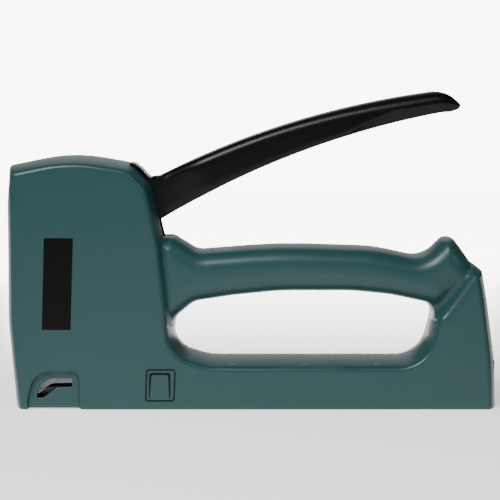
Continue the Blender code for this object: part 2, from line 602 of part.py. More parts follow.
def make_knob_and_latch():
    """The magazine's end knob with the spring catch that locks it in the rear door."""
    low = (KNOB_FRONT, -KNOB_HALF_WIDTH, KNOB_BASE)
    knob = part("magazine_knob", box("knob", low, (KNOB_REAR, KNOB_HALF_WIDTH, KNOB_TOP)), BLACK)
    bevel = knob.modifiers.new("rounded edges", "BEVEL")
    bevel.width = 0.6 * MM
    pocket = LATCH_HALF_WIDTH + GAP
    cut(knob, box("pocket", (LATCH_POCKET_FRONT, -pocket, 2.2), (100, pocket, 30)))
    cut(knob, cylinder("rod hole", (70, 0, ROD_Z), (ROD_REAR + GAP, 0, ROD_Z), ROD_RADIUS + GAP, 12))
    pin_half = KNOB_HALF_WIDTH - 0.8
    cut(knob, across("pin hole", LATCH_PIVOT, LATCH_PIN_RADIUS + GAP, -pin_half - GAP, pin_half + GAP))
    part("latch_pin", across("pin", LATCH_PIVOT, LATCH_PIN_RADIUS, -pin_half, pin_half), STEEL)
    shape = prism("latch", rounded(LATCH_OUTLINE), LATCH_HALF_WIDTH)
    latch = part("magazine_latch", shape, BLACK, LATCH_PIVOT)
    cut(latch, across("pin hole", LATCH_PIVOT, LATCH_PIN_RADIUS + GAP, -20, 20))
    start, end = LATCH_POCKET_FRONT + GAP + 0.25, 84.3 - GAP - 0.25
    turns = coil((start, 0, 11), (end, 0, 11), 1.3, 4, 8)
    part("latch_spring", wire("spring", turns, 0.25), SPRING_STEEL)


def main():
    new_scene()
    make_shell("left_shell", -1)
    make_shell("right_shell", 1)
    make_screws()
    make_lever()
    make_lift_plates()
    make_lever_pins()
    make_hammer()
    make_spring_and_guide()
    make_nose()
    make_channel_and_rail()
    make_pusher()
    make_knob_and_latch()


main()
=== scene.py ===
"""Looks of the hand staple gun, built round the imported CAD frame.

Sizes in the making functions are millimetres in the frame's own axes: the nose points along -X, the lever swings
about Y and +Z is up. Outlines are (x, z, corner radius), clockwise. Meshes are scaled to metres at the end.
"""

import json
import math

import bmesh
import bpy
import numpy as np
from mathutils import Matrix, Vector
from mathutils.geometry import delaunay_2d_cdt


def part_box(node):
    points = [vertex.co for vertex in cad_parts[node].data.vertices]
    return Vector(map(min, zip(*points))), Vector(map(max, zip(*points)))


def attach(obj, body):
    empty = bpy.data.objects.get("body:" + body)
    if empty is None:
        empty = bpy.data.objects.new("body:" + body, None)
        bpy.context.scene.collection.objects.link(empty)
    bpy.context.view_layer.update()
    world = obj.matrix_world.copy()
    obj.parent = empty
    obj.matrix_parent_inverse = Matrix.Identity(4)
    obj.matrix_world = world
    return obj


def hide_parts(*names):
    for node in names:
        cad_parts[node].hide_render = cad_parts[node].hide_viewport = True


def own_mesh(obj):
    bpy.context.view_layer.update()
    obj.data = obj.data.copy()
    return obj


MM = 0.001

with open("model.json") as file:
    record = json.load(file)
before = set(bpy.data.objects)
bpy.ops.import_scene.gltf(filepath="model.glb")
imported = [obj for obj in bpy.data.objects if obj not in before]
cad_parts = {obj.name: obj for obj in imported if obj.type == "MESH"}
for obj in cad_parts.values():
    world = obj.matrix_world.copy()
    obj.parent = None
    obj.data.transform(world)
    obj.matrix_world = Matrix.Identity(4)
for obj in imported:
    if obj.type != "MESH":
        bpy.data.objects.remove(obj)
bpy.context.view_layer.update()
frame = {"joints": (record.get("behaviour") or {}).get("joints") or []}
PIVOT = next(joint for joint in frame["joints"] if joint["name"] == "lever_squeeze")["pos_m"]
PIVOT = Vector(PIVOT) / MM
DRIVE_PIN = sum(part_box("drive_pin"), Vector()) / 2 / MM

# Body
PRINT_THICKNESS = 0.04
HALF_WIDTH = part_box("left_shell")[0].y / -MM - PRINT_THICKNESS - 0.01
GRIP_HALF_WIDTH = 13.8
FRAME_CROWN, FRAME_EDGE = 2.3, 1.9  # sideways crown of the walls and radius of the side face's edge
GRIP_CROWN, GRIP_EDGE = 0.8, 6.2
BASE_EDGE = 0.7
VALLEY_BLEND = 4.5  # how softly the grip meets the frame
PARTING_GAP, PARTING_GROOVE = 0.05, 0.22
HOLLOW_HALF_WIDTH, GRIP_HOLLOW_HALF_WIDTH = 13.9, 10.6
SLOT_HALF_WIDTH = 7.0
RECESS_DEPTH = 1.5
ARC_STEP = math.radians(5)
POINT_STEP = 1.3  # distance between mesh points along an outline
BASE_ZONE = 4  # the base's edge is rounded below this height
OUTSIDE_SLOPE = 12  # how steeply a height falls outside its outline

FRAME_OUTLINE = (
    (-86, -4, 0), (-89, 31, 60), (-89, 74, 60), (-88, 87.4, 1.2), (-65, 92.1, 140), (-43.4, 88.4, 9),
    (-35.9, 80.4, 12), (-31.6, 61, 40), (-28.9, 36, 30), (-27.9, 21.6, 11), (-15.5, 17.8, 20), (61, 17.8, 15),
    (65.4, 34.6, 4), (79.3, 52.4, 1), (83.7, 49, 1.2), (85.6, 38, 60), (88.2, 18, 80), (89.1, -4, 0),
)
BASE_OUTLINE = (
    (88.95, 0, 1.5), (-61.7, 0, 0.3), (-62.2, 0.4, 0.3), (-80.4, 0.4, 0.3), (-81, 0, 0.3), (-86.35, 0, 1.1),
)
SILHOUETTE = FRAME_OUTLINE[1:-1] + BASE_OUTLINE
GRIP_OUTLINE = (
    (-35.8, 62.3, 7), (-28.4, 62.1, 3), (-19.8, 56.7, 7), (10, 59, 200), (44, 57.9, 60),
    (61.8, 54, 10), (71.2, 63.5, 4), (79.5, 52.0, 1), (82.8, 49.4, 1.5), (82.2, 45, 3), (71, 31, 2), (64.9, 31.5, 0.5),
    (65, 37.1, 3.5), (50, 40.3, 40), (36, 41.7, 60), (10, 41.7, 80), (-7, 40, 40), (-21, 37.9, 7), (-27.8, 32.3, 5),
    (-28.2, 29, 0.5), (-33.6, 29.5, 2), (-35.2, 45, 6),
)
FRAME_HOLLOW = (
    (-84.9, 2.6, 0), (-86, 30, 0), (-86, 75, 0), (-85, 84.7, 0), (-65, 87.6, 0), (-50, 86.6, 0), (-43.8, 85.6, 0),
    (-38.6, 79, 0), (-34.6, 60, 0), (-31.9, 36, 0), (-30.8, 24, 0), (-22.4, 15.4, 0), (-14, 14.9, 0), (61, 14.9, 0),
    (69.4, 24, 0), (72.4, 33.5, 0), (80, 44.5, 0), (80.9, 44.4, 0), (82.8, 37, 0), (85.2, 18, 0), (86, 2.6, 0),
)
GRIP_HOLLOW = (
    (-36, 55.5, 0), (-27, 56.4, 0), (-20, 53.5, 0), (10, 55.5, 0), (44, 54.5, 0), (60, 51.4, 0), (64.4, 52.4, 0),
    (69.4, 56.4, 0), (70.6, 50, 0), (64, 43, 0), (50, 43.7, 0), (36, 45, 0), (10, 45, 0),
    (-7, 43.3, 0), (-21, 41.2, 0), (-29.5, 37, 0), (-36, 41, 0),
)
NOTCH = ((-32.2, 65, 0), (-29.3, 64.5, 0), (-29.6, 61.9, 0.3), (-30.7, 60.2, 0.3), (-31.2, 60.2, 0.3))
HORN_VALLEY = ((67.5, 37), (79, 50.5))
HORN_VALLEY_DEPTH, HORN_VALLEY_WIDTH = 2.4, 2.8
HORN_VALLEY_FADE = (8, 13)  # half widths of the body between which the valley fades in
NOTCH_INNER, WINDOW_INNER = 8.6, 12.5  # how far in the notch and the window are cut
SIDE_RECESS = ((-81.2, -3, 0), (-80.9, 4.5, 6), (-78.2, 13.5, 6.5), (-62.5, 13.9, 3), (-62.2, -3, 0))
WINDOW = (
    (-77.9, 4.2, 0.6), (-76.8, 8.2, 4), (-73.6, 11.1, 3), (-65.1, 11.2, 0.5), (-65.1, 8.1, 0.5), (-70.8, 7.9, 4),
    (-73.8, 5.4, 3), (-75.8, 4.1, 0.8),
)
WINDOW_EDGE = 0.35
SCREWS = [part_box(f"shell_screw_{number}") for number in range(1, 7)]
SCREW_PLACES = [((low.x + high.x) / 2 / MM, (low.z + high.z) / 2 / MM) for low, high in SCREWS]
SCREW_SEAT = 10.0
SCREW_HOLE_RADIUS, SCREW_HOLE_END = 1.7, 10.5
COUNTERBORE_RADIUS = 3.1
COUNTERBORE_EDGE = 0.4
BOSS_RADIUS, BOSS_START = 3.4, 0.15
PIVOT_BOSS_RADIUS, PIVOT_BOSS_START = 4.6, 12.7
PIVOT_HOLE_RADIUS, PIVOT_HOLE_END = 2.7, 15.4
BODY_RIBS = (-57, -34, -8, 18, 44, 66)
BODY_RIB_THICKNESS, BODY_RIB_BOTTOM, BODY_RIB_TOP = 1.6, 1.6, 16
SLOTS = (  # name, low and high corner as (x, z), half width and edge radius
    ("lever slot", (-44.5, 61.2), (-28, 100), SLOT_HALF_WIDTH, 1.2),
    ("magazine slot", (-82, -3), (80, 3.1), SLOT_HALF_WIDTH, 0),
    ("nose slot", (-84.8, -4), (-65, 4), 8.2, 0),
    ("rear door", (73.9, -5), (95, 17.4), SLOT_HALF_WIDTH, 0.6),
)

# Where the body's mesh has its points
RING_DISTANCES = (0.06, 0.18, 0.36, 0.6, 0.9, 1.25, 1.6, 1.9, 2.15, 2.4, 2.7, 3.0, 3.4, 3.8, 4.3, 5.1, 6.0, 7.2)
BASE_RINGS = (0.12, 0.3, 0.5, 0.8)
RECESS_RINGS = (-0.4, -0.2, -0.1, 0, 0.1, 0.2, 0.3, 0.5)
WINDOW_RINGS = (-0.5, -0.35, -0.22, -0.1, 0)
SCREW_RINGS = (0, 0.1, 0.22, 0.4, 0.6)
COVER_DEPTH = 3  # rings this far below the other surface are left out
SEAM_REACH = 3.5  # the fine grid covers places where the two surfaces are this close
SEAM_GRID = np.mgrid[-38:86:0.5, 26:64:0.5].reshape(2, -1).T
LEAST_INSIDE = 0.03  # points stay this far inside the outlines

# Lever
LEVER_TOP = ((-37, 82), (64.9, 114.1), 4.6)  # start, end and height of the arc
LEVER_UNDERSIDE = ((-33, 68.1), (68.5, 106.7), 5.0)
LEVER_TIP = Vector((75.2, 109.3))
LEVER_HALF_WIDTH, HUB_HALF_WIDTH, LEVER_WALL = 10.5, 6.2, 2.0
LEVER_KEEL = ((-38.5, 63.5), (-44, 61), (-52, 57), (-57.5, 58), (-58.5, 64))
LEVER_FIN = ((-44.1, 82), (-44.1, 88.5), (-42.3, 88.0), (-40, 86.2), (-37.4, 83.2), (-35.3, 79))
LEVER_RIBS = (0.26, 0.38, 0.5, 0.62, 0.74, 0.86)  # as parts of the lever's length
LEVER_RIB_THICKNESS, LEVER_RIB_CLEARANCE = 1.4, 3.2
LEVER_PIVOT_RADIUS, LEVER_DRIVE_PIN_RADIUS = 2.55, 1.65
LEVER_STEPS, LEVER_TIP_STEPS, HUB_STEPS = 60, 14, 32
TIP_END_HALF_WIDTH = 1.6
HUB_RADIUS = 17.2
HUB_FRONT, HUB_REAR = 118, 54  # ends of the hub's round roof, in degrees from +X

# Springs
COIL_STEPS = 28  # mesh sections in a turn
CLOSED_SHARE = 0.35  # how strongly the end turns are closed up

# Nose cheeks
CHEEK_FRONT, CHEEK_REAR, CHEEK_TOP = -80.4, -64.4, 17.3
CHEEK = (
    (CHEEK_FRONT, 5.7, 0.6), (CHEEK_FRONT, CHEEK_TOP, 0), (CHEEK_REAR, CHEEK_TOP, 0), (CHEEK_REAR, 9.4, 0.6),
    (-72.4, 9.3, 4), (-77.2, 5.5, 1),
)
CHEEK_INNER, CHEEK_OUTER = 12.95, 13.65
CHEEK_FLANGE_START, CHEEK_FLANGE_BASE = 8.15, 16.7
GROOVE_PITCH, GROOVE_RADIUS, GROOVE_OFFSET, GROOVE_MARGIN = 0.62, 0.27, 0.14, 1.2

# Prints
PRINT_BLOCK = ((-75.6, 29, 0.3), (-74.6, 62, 0.3), (-64.2, 62, 0.3), (-65.3, 29, 0.3))
PRINT_FRAME = ((-38.75, 3.0, 1.3), (-38.3, 14.75, 1.3), (-27.6, 14.75, 1.3), (-28.0, 3.0, 1.3))
PRINT_FRAME_LINE = 0.5
PRINT_STAPLE = (
    (-37.1, 13.4, 1.0), (-29.5, 13.4, 1.0), (-29.6, 4.2, 0.2), (-30.0, 4.2, 0), (-30.35, 12.7, 0.7),
    (-36.35, 12.7, 0.7), (-37.0, 4.2, 0.2), (-37.35, 4.2, 0),
)

# Materials
PLASTIC_GRAIN, PLASTIC_PATCHES = 2600, 60  # noise scales
BUMP_DISTANCE = 0.00002

# Stage, light and camera
FLOOR_LOW, FLOOR_HIGH = (-700, -480), (700, 1300)  # corners, in millimetres
# painted light: how strongly the floor glows near the camera and towards the screen
FLOOR_FRONT_GLOW, FLOOR_BACK_GLOW = 0.85, 8.0
FRONT, BACKDROP, OVERHEAD = 0.1, 0.9, 0.4
ASIDE_SHARE = 0.12  # how much light is left beside the bright strip and the screen
SCREEN_GLOW = 8.0  # the white screen straight behind the object
LIGHT_TARGET = Vector((0, 0, 0.055))
CAMERA_ELEVATION, CAMERA_DISTANCE, CAMERA_LENS = 5.2, 0.75, 147.7
CAMERA_TARGET = Vector((-0.9, 0, 56.3)) * MM
SENSOR_WIDTH = 36


# ---------------------------------------------------------------- outlines in the plane

def rounded(outline):
    """The points of an outline, with each corner as an arc."""
    points = []
    count = len(outline)
    for i, (x, z, radius) in enumerate(outline):
        corner = Vector((x, z))
        before = Vector(outline[i - 1][:2]) - corner
        after = Vector(outline[(i + 1) % count][:2]) - corner
        turn = math.pi - before.angle(after)
        if radius == 0 or turn < 0.01:
            points.append(corner)
            continue
        reach = min(radius * math.tan(turn / 2), 0.49 * before.length, 0.49 * after.length)
        start, end = corner + before.normalized() * reach, corner + after.normalized() * reach
        weight = math.cos(turn / 2)
        steps = max(2, math.ceil(turn / ARC_STEP))
        for step in range(steps + 1):
            t = step / steps
            a, b, c = (1 - t) ** 2, 2 * t * (1 - t) * weight, t ** 2
            points.append((start * a + corner * b + end * c) / (a + b + c))
    return points


def inset(outline, distance):
    """The outline with every side moved inwards by distance."""
    moved = []
    count = len(outline)
    for i, (x, z, radius) in enumerate(outline):
        corner = Vector((x, z))
        arrive = (corner - Vector(outline[i - 1][:2])).normalized()
        leave = (Vector(outline[(i + 1) % count][:2]) - corner).normalized()
        first, second = Vector((arrive.y, -arrive.x)), Vector((leave.y, -leave.x))
        place = corner + (first + second) * distance / (1 + first.dot(second))
        if radius > 0:
            convex = arrive.x * leave.y < arrive.y * leave.x
            radius = max(radius - distance, 0.15) if convex else radius + distance
        moved.append((place.x, place.y, radius))
    return moved


def spaced(points, step=POINT_STEP):
    """The closed line through the points as an array with no two further apart than step."""
    spread = []
    for i, point in enumerate(points):
        following = points[(i + 1) % len(points)]
        pieces = max(1, math.ceil((following - point).length / step))
        spread += [point.lerp(following, k / pieces) for k in range(pieces)]
    return np.array(spread)


def circle(x, z, radius, count=48):
    """Points of a circle, clockwise."""
    angles = [-2 * math.pi * i / count for i in range(count)]
    return [Vector((x + radius * math.cos(a), z + radius * math.sin(a))) for a in angles]


def inside_distance(places, line):
    """How far each place lies inside the closed line; negative outside it."""
    start = np.array(line)
    end = np.roll(start, -1, axis=0)
    along = end - start
    length = (along ** 2).sum(1) + 1e-12
    result = np.empty(len(places))
    for first in range(0, len(places), 4000):
        some = places[first:first + 4000, None, :]
        offset = some - start
        t = np.clip((offset * along).sum(2) / length, 0, 1)
        gap = offset - t[..., None] * along
        distance = np.sqrt((gap ** 2).sum(2).min(1))
        spans = (start[:, 1] > some[..., 1]) != (end[:, 1] > some[..., 1])
        slope = np.where(np.abs(along[:, 1]) < 1e-12, 1e-12, along[:, 1])
        crossing = start[:, 0] + (some[..., 1] - start[:, 1]) / slope * along[:, 0]
        inside = (spans & (some[..., 0] < crossing)).sum(1) % 2 == 1
        result[first:first + 4000] = np.where(inside, distance, -distance)
    return result


# ---------------------------------------------------------------- the body's height field

def wall_profile(half_width, crown, edge, distance):
    """Half width of a crowned wall with a rounded edge, at each distance in from its outline."""
    lean = math.atan(2 * crown / (half_width - edge))
    for _ in range(4):
        lean = math.atan(2 * crown / (half_width - edge + edge * math.sin(lean)))
    foot = half_width - edge + edge * math.sin(lean)
    centre = crown + edge * math.cos(lean)
    inward = np.clip(distance, 0, None)
    wall = foot * np.sqrt(np.clip(inward / crown, 0, 1))
    arc = half_width - edge + np.sqrt(np.clip(edge ** 2 - (centre - np.minimum(inward, centre)) ** 2, 0, None))
    height = np.where(inward < crown, wall, arc)
    return np.where(distance < 0, OUTSIDE_SLOPE * distance, height)


def soft_max(a, b, blend):
    """The larger of two heights, with a fillet where they cross."""
    return np.maximum(a, b) + np.clip(blend - np.abs(a - b), 0, None) ** 2 / (4 * blend)


def quarter_round(distance, radius):
    """How much an edge of that radius drops at each distance from it."""
    share = np.clip(1 - distance / radius, 0, 1)
    return radius * (1 - np.sqrt(1 - share ** 2))


def smooth_step(low, high, value):
    """A soft step from 0 at low to 1 at high."""
    t = np.clip((value - low) / (high - low), 0, 1)
    return t * t * (3 - 2 * t)


class BodyField:
    """Half width of the body over the side view, one value for each place."""

    def __init__(self, screws):
        self.frame = rounded(FRAME_OUTLINE)
        self.silhouette = rounded(SILHOUETTE)
        self.grip = rounded(GRIP_OUTLINE)
        self.recess = rounded(SIDE_RECESS)
        self.window = rounded(WINDOW)
        self.screws = screws

    def parts(self, places):
        """The frame's and the grip's own half widths."""
        frame_height = wall_profile(HALF_WIDTH, FRAME_CROWN, FRAME_EDGE, inside_distance(places, self.frame))
        grip_height = wall_profile(GRIP_HALF_WIDTH, GRIP_CROWN, GRIP_EDGE, inside_distance(places, self.grip))
        return frame_height, grip_height

    def height(self, places):
        """The body's half width at each place."""
        height = soft_max(*self.parts(places), VALLEY_BLEND)
        height -= self.horn_valley(places, height)
        from_base = np.where(places[:, 1] < BASE_ZONE, inside_distance(places, self.silhouette), BASE_EDGE)
        height -= quarter_round(np.clip(from_base, 0, None), BASE_EDGE)
        height -= RECESS_DEPTH * smooth_step(-0.2, 0.3, inside_distance(places, self.recess))
        height -= quarter_round(np.clip(-inside_distance(places, self.window), 0, None), WINDOW_EDGE)
        for x, z in self.screws:
            away = np.hypot(places[:, 0] - x, places[:, 1] - z) - COUNTERBORE_RADIUS
            height -= quarter_round(np.clip(away, 0, None), COUNTERBORE_EDGE)
        return np.maximum(height, PARTING_GROOVE * 1.5)

    def horn_valley(self, places, height):
        """The depth of the valley between the grip's horn and the rear post, deepest at its foot."""
        start, end = np.array(HORN_VALLEY[0]), np.array(HORN_VALLEY[1])
        along = end - start
        t = np.clip((places - start) @ along / (along @ along), 0, 1)
        away = np.linalg.norm(places - start - t[:, None] * along, axis=1)
        across_share = np.exp(-(away / HORN_VALLEY_WIDTH) ** 2)
        return HORN_VALLEY_DEPTH * (1 - t) ** 0.7 * across_share * smooth_step(*HORN_VALLEY_FADE, height)

    def sample_places(self):
        """Places for mesh points: rings along the outlines, and a fine grid where the grip meets the frame."""
        rings = []
        for distance in RING_DISTANCES:
            rings.append(spaced(rounded(inset(FRAME_OUTLINE, distance))))
            rings.append(spaced(rounded(inset(GRIP_OUTLINE, distance))))
        places = np.concatenate(rings)
        frame_height, grip_height = self.parts(places)
        on_frame = np.concatenate([np.full(len(ring), number % 2 == 0) for number, ring in enumerate(rings)])
        lead = np.where(on_frame, frame_height - grip_height, grip_height - frame_height)
        shown = lead > -COVER_DEPTH
        inside = np.maximum(frame_height, grip_height) > 0
        places = places[shown & inside]
        frame_height, grip_height = self.parts(SEAM_GRID)
        near = (np.abs(frame_height - grip_height) < SEAM_REACH) & (np.maximum(frame_height, grip_height) > 1.5)
        fine = [places, SEAM_GRID[near]]
        for outline, distances, step in (
            (SILHOUETTE, BASE_RINGS, 2.5), (SIDE_RECESS, RECESS_RINGS, 0.5), (WINDOW, WINDOW_RINGS, 0.4),
        ):
            fine += [spaced(rounded(inset(outline, distance)), step) for distance in distances]
        for x, z in self.screws:
            fine += [np.array(circle(x, z, COUNTERBORE_RADIUS + distance)) for distance in SCREW_RINGS]
        places = np.concatenate(fine)
        return thinned(places[self.within(places) > LEAST_INSIDE], 0.05)

    def within(self, places):
        """How far places lie inside the body's side view."""
        return np.maximum(inside_distance(places, self.silhouette), inside_distance(places, self.grip))


def thinned(places, gap):
    """The places with only one kept in each square of side gap."""
    keys = np.round(places / gap).astype(int)
    _, first = np.unique(keys, axis=0, return_index=True)
    return places[np.sort(first)]


def triangulated(loops, places):
    """A Delaunay triangulation that keeps the sides of the loops: its points and its triangles."""
    points, edges = [], []
    for loop in loops:
        first = len(points)
        points += [Vector((float(x), float(z))) for x, z in loop]
        edges += [(first + i, first + (i + 1) % len(loop)) for i in range(len(loop))]
    points += [Vector((float(x), float(z))) for x, z in places]
    result = delaunay_2d_cdt(points, edges, [], 0, 1e-4)
    return np.array([tuple(p) for p in result[0]]), np.array([tuple(face) for face in result[2]])


def boundary_loops(triangles):
    """The closed loops of point numbers round a set of triangles."""
    sides = {}
    for a, b, c in triangles:
        for side in ((a, b), (b, c), (c, a)):
            sides[side] = True
    following = {a: b for a, b in sides if (b, a) not in sides}
    loops = []
    while following:
        start = next(iter(following))
        loop = [start]
        current = following.pop(start)
        while current != start:
            loop.append(current)
            current = following.pop(current)
        loops.append(loop)
    return loops


def body_half(name, side, screws):
    """One half of the body as a closed solid: the height field, a narrow groove and a flat parting face."""
    field = BodyField(screws)
    loops = [spaced(field.silhouette), spaced(field.grip)]
    points, triangles = triangulated(loops, field.sample_places())
    middles = points[triangles].mean(1)
    triangles = triangles[field.within(middles) > 0]
    used = np.unique(triangles)
    renumber = np.full(len(points), -1)
    renumber[used] = np.arange(len(used))
    points, triangles = points[used], renumber[triangles]
    heights = field.height(points)
    bm = bmesh.new()
    outer = [bm.verts.new((x, side * h, z)) for (x, z), h in zip(points, heights)]
    for a, b, c in triangles:
        bm.faces.new((outer[a], outer[b], outer[c]))
    flat_loops = []
    for loop in boundary_loops(triangles):
        ring = points[loop]
        along = np.roll(ring, -1, axis=0) - np.roll(ring, 1, axis=0)
        normal = np.stack((-along[:, 1], along[:, 0]), 1) / (np.linalg.norm(along, axis=1)[:, None] + 1e-9)
        inner_ring = ring + normal * PARTING_GROOVE
        inner = [bm.verts.new((x, side * PARTING_GAP, z)) for x, z in inner_ring]
        for i in range(len(loop)):
            j = (i + 1) % len(loop)
            bm.faces.new((outer[loop[i]], outer[loop[j]], inner[j], inner[i]))
        flat_loops.append((inner_ring, inner))
    close_flat(bm, flat_loops)
    return finished_mesh(name, bm)


def close_flat(bm, flat_loops):
    """Closes the parting face between its loops."""
    points = [Vector((float(x), float(z))) for ring, _ in flat_loops for x, z in ring]
    verts = [vert for _, inner in flat_loops for vert in inner]
    edges, first = [], 0
    for ring, _ in flat_loops:
        edges += [(first + i, first + (i + 1) % len(ring)) for i in range(len(ring))]
        first += len(ring)
    _, sides, faces, origin, side_origin, _ = delaunay_2d_cdt(points, edges, [], 0, 1e-6)
    walls = {frozenset(side) for side, source in zip(sides, side_origin) if source}
    by_side = {}
    for number, face in enumerate(faces):
        for i in range(3):
            by_side.setdefault(frozenset((face[i], face[i - 1])), []).append(number)
    reached = {}
    waiting = [(users[0], key in walls) for key, users in by_side.items() if len(users) == 1]
    while waiting:
        number, inside = waiting.pop()
        if number in reached:
            continue
        reached[number] = inside
        for i in range(3):
            key = frozenset((faces[number][i], faces[number][i - 1]))
            waiting += [(user, inside != (key in walls)) for user in by_side[key] if user != number]
    for number, inside in reached.items():
        if inside:
            bm.faces.new([verts[origin[i][0]] for i in faces[number]])


# ---------------------------------------------------------------- meshes

def finished_mesh(name, bm):
    """Turns a bmesh in millimetres into a mesh in metres, faces pointing out."""
    bmesh.ops.recalc_face_normals(bm, faces=bm.faces)
    bmesh.ops.scale(bm, vec=(MM, MM, MM), verts=bm.verts)
    data = bpy.data.meshes.new(name)
    bm.to_mesh(data)
    bm.free()
    return data


def piece(name, data, sharp=30):
    """Links a mesh as a piece of the object, smooth except at sharp angles."""
    obj = bpy.data.objects.new(name, data)
    bpy.context.scene.collection.objects.link(obj)
    data.shade_smooth()
    data.set_sharp_from_angle(angle=math.radians(sharp))
    return obj


def box(name, low, high, edge=0.0):
    """A box between two corners, with rounded edges."""
    bm = bmesh.new()
    bmesh.ops.create_cube(bm, size=1)
    low, high = Vector(low), Vector(high)
    bmesh.ops.scale(bm, vec=high - low, verts=bm.verts)
    bmesh.ops.translate(bm, vec=(low + high) / 2, verts=bm.verts)
    if edge:
        bmesh.ops.bevel(bm, geom=bm.edges[:], offset=edge, segments=3, profile=0.5, affect="EDGES")
    return finished_mesh(name, bm)


def cylinder(name, start, end, radius, segments=48):
    """A cylinder between two points on its axis."""
    start, end = Vector(start), Vector(end)
    axis = end - start
    bm = bmesh.new()
    bmesh.ops.create_cone(bm, cap_ends=True, segments=segments, radius1=radius, radius2=radius, depth=axis.length)
    bmesh.ops.rotate(bm, matrix=Vector((0, 0, 1)).rotation_difference(axis).to_matrix(), verts=bm.verts)
    bmesh.ops.translate(bm, vec=(start + end) / 2, verts=bm.verts)
    return finished_mesh(name, bm)


def across(name, centre, radius, y_start, y_end, segments=48):
    """A cylinder along Y through centre."""
    return cylinder(name, (centre[0], y_start, centre[-1]), (centre[0], y_end, centre[-1]), radius, segments)


def prism(name, points, y_start, y_end):
    """A closed outline of (x, z) points, extruded between two distances from the parting plane."""
    bm = bmesh.new()
    near = [bm.verts.new((p[0], y_start, p[1])) for p in points]
    far = [bm.verts.new((p[0], y_end, p[1])) for p in points]
    for i in range(len(points)):
        j = (i + 1) % len(points)
        bm.faces.new((near[i], near[j], far[j], far[i]))
    bm.faces.new(near)
    bm.faces.new(far)
    bmesh.ops.triangulate(bm, faces=[face for face in bm.faces if len(face.verts) > 4])
    return finished_mesh(name, bm)


def combine(data, operation, others):
    """The mesh after a Boolean with each of the others."""
    target = bpy.data.objects.new("target", data)
    bpy.context.scene.collection.objects.link(target)
    helpers = []
    for other in others:
        helper = bpy.data.objects.new("helper", other)
        bpy.context.scene.collection.objects.link(helper)
        helpers.append(helper)
        modifier = target.modifiers.new("boolean", "BOOLEAN")
        modifier.operation = operation
        modifier.solver = "MANIFOLD"
        modifier.object = helper
    graph = bpy.context.evaluated_depsgraph_get()
    result = bpy.data.meshes.new_from_object(target.evaluated_get(graph))
    for obj in helpers + [target]:
        bpy.data.objects.remove(obj)
    return result


# ---------------------------------------------------------------- shells

def shell_inside(side):
    """Bosses and ribs inside a shell."""
    y_part, y_wall = side * BOSS_START, side * (HOLLOW_HALF_WIDTH + 0.6)
    y_low, y_high = sorted((side * (SLOT_HALF_WIDTH - 0.1), y_wall))
    pieces = []
    for x in BODY_RIBS:
        low = (x, y_low, BODY_RIB_BOTTOM)
        pieces.append(box("rib", low, (x + BODY_RIB_THICKNESS, y_high, BODY_RIB_TOP)))
    for x, z in SCREW_PLACES:
        y_end = side * (GRIP_HOLLOW_HALF_WIDTH + 0.8) if -30 < x < 70 else y_wall
        pieces.append(across("boss", (x, z), BOSS_RADIUS, y_part, y_end))
    pieces.append(across("pivot boss", PIVOT, PIVOT_BOSS_RADIUS, side * PIVOT_BOSS_START, y_wall))
    return pieces


def make_shell(name, side):
    """A moulded half of the body."""
    screws = SCREW_PLACES if side > 0 else []
    data = body_half(name, side, screws)
    hollow = [
        prism("frame hollow", rounded(FRAME_HOLLOW), -HOLLOW_HALF_WIDTH, HOLLOW_HALF_WIDTH),
        prism("grip hollow", rounded(GRIP_HOLLOW), -GRIP_HOLLOW_HALF_WIDTH, GRIP_HOLLOW_HALF_WIDTH),
    ]
    data = combine(data, "DIFFERENCE", hollow)
    data = combine(data, "UNION", shell_inside(side))
    outside = side * (HALF_WIDTH + 2)
    cutters = [
        box(slot, (x, -half_width, z), (x_end, half_width, z_end), edge)
        for slot, (x, z), (x_end, z_end), half_width, edge in SLOTS
    ]
    cutters += [
        prism("window", rounded(WINDOW), side * WINDOW_INNER, outside),
        prism("notch", rounded(NOTCH), side * NOTCH_INNER, outside),
        across("pivot hole", PIVOT, PIVOT_HOLE_RADIUS, 0, side * PIVOT_HOLE_END),
    ]
    for place in SCREW_PLACES:
        cutters.append(across("screw hole", place, SCREW_HOLE_RADIUS, -side, side * SCREW_HOLE_END, 24))
        if side > 0:
            cutters.append(across("counterbore", place, COUNTERBORE_RADIUS, SCREW_SEAT, outside))
    data = combine(data, "DIFFERENCE", cutters)
    data.name = name
    return piece(f"{name}_moulded", data)


# ---------------------------------------------------------------- lever

def arc_point(arc, t):
    """The point a part t of the way along a shallow arc."""
    start, end, height = Vector(arc[0]), Vector(arc[1]), arc[2]
    along = end - start
    up = Vector((-along.y, along.x)).normalized()
    return start + along * t + up * (height * 4 * t * (1 - t))


def lever_ring(top, bottom, half_width, top_edge, facet):
    """One section of the lever: a crowned top with round edges, upright sides and a facet along the lower edge.

    Half of it is laid out as (distance from the middle plane, height above the underside), from the top down.
    """
    up = top - bottom
    height = up.length
    up = up.normalized()
    half = []
    for i in range(9):
        angle = math.radians(90) * i / 8
        half.append((half_width - top_edge + top_edge * math.sin(angle), height - top_edge * (1 - math.cos(angle))))
    half[0] = (half[0][0], height - 0.25)
    low = min(facet * 1.7, 0.55 * height)
    for share in (0.75, 0.5, 0.25, 0.0):
        half.append((half_width, low + 0.5 + (height - top_edge - low - 0.5) * share))
    half += [(half_width - 0.1, low + 0.15), (half_width - 0.35, low - 0.15)]
    half += [(half_width - 0.3 - facet * share, low * (1 - share) + 0.6 * share) for share in (0.3, 0.65)]
    foot = half_width - 0.3 - facet
    half += [(foot, 0.6), (foot - 0.35, 0.15), (foot - 0.9, 0.0)]
    across_top = [(half[0][0] * share, height - 0.25 * share ** 2) for share in (0, 0.35, 0.7)]
    half = across_top + half + [(half[-1][0] * share, 0.0) for share in (0.6, 0)]
    ring = half + [(-y, v) for y, v in half[-2:0:-1]]
    return [Vector((bottom.x + up.x * v, y, bottom.y + up.y * v)) for y, v in ring]


